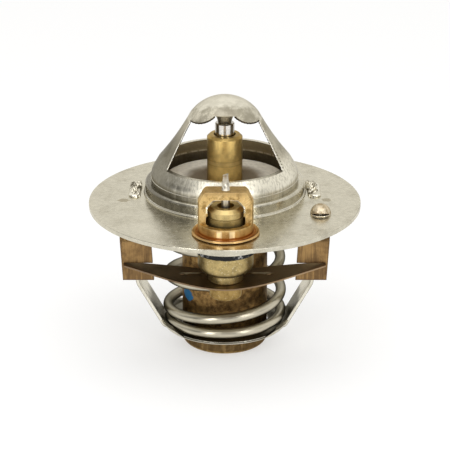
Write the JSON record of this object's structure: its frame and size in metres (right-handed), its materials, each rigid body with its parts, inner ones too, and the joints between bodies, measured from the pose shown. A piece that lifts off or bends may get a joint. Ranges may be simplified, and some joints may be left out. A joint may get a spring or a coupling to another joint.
{
  "type": "engine thermostat",
  "caption": "Flanged engine thermostat: windowed upper bridge, sprung wax-driven main valve in a strip bridge, a small leaf-sprung second valve and a bleed ball.",
  "frame": {"origin": "centre of the flange's top face", "axes": "+Z along the valves, out of the upper bridge; -Y towards the small second valve; +X to the side of the bleed valve"},
  "size_m": [0.064, 0.064, 0.0621],
  "materials": {
    "plated_steel": "satin, lightly scratched",
    "ground_steel": "bright ground",
    "turned_brass": "turned, slightly tarnished",
    "brown_bronze": "brown, oxidised",
    "pale_brass": "dull",
    "spring_wire": "drawn wire, satin",
    "dark_leaf": "dark, heat tinted",
    "black_rubber": "matt",
    "wax": "dull"
  },
  "bodies": {
    "frame": {"flange": "plated_steel", "upper_bridge": "plated_steel", "lower_bridge": "plated_steel", "main_piston": "ground_steel", "sub_cage": "turned_brass", "sub_piston": "ground_steel", "sub_seat_plate": "plated_steel", "spring_bracket_left": "brown_bronze", "spring_bracket_right": "brown_bronze", "bleed_hood": "pale_brass", "main_spring": "spring_wire", "leaf_spring": "dark_leaf"},
    "main_valve": {"valve_plate": "plated_steel", "main_guide": "turned_brass", "main_wax_cup": "brown_bronze", "guide_washer": "black_rubber", "main_boot": "black_rubber", "main_wax": "wax"},
    "sub_valve": {"sub_guide": "turned_brass", "sub_valve_body": "turned_brass", "sub_seal": "black_rubber", "sub_wax_cup": "turned_brass", "sub_boot": "black_rubber", "sub_wax": "wax"},
    "ball": {"bleed_ball": "ground_steel"}
  },
  "joints": [
    {"name": "main_valve_slide", "type": "slide", "parent": "frame", "child": "main_valve", "axis": [0, 0, -1], "range_m": [0, 0.008], "stiffness_N_per_m": 2000, "springref_m": -0.01, "deforming": ["main_spring"]},
    {"name": "sub_valve_slide", "type": "slide", "parent": "frame", "child": "sub_valve", "axis": [0, 0, -1], "range_m": [0, 0.003], "stiffness_N_per_m": 600, "springref_m": -0.003, "deforming": ["leaf_spring"]},
    {"name": "bleed_ball_lift", "type": "slide", "parent": "frame", "child": "ball", "axis": [0, 0, 1], "range_m": [0, 0.0004]}
  ]
}
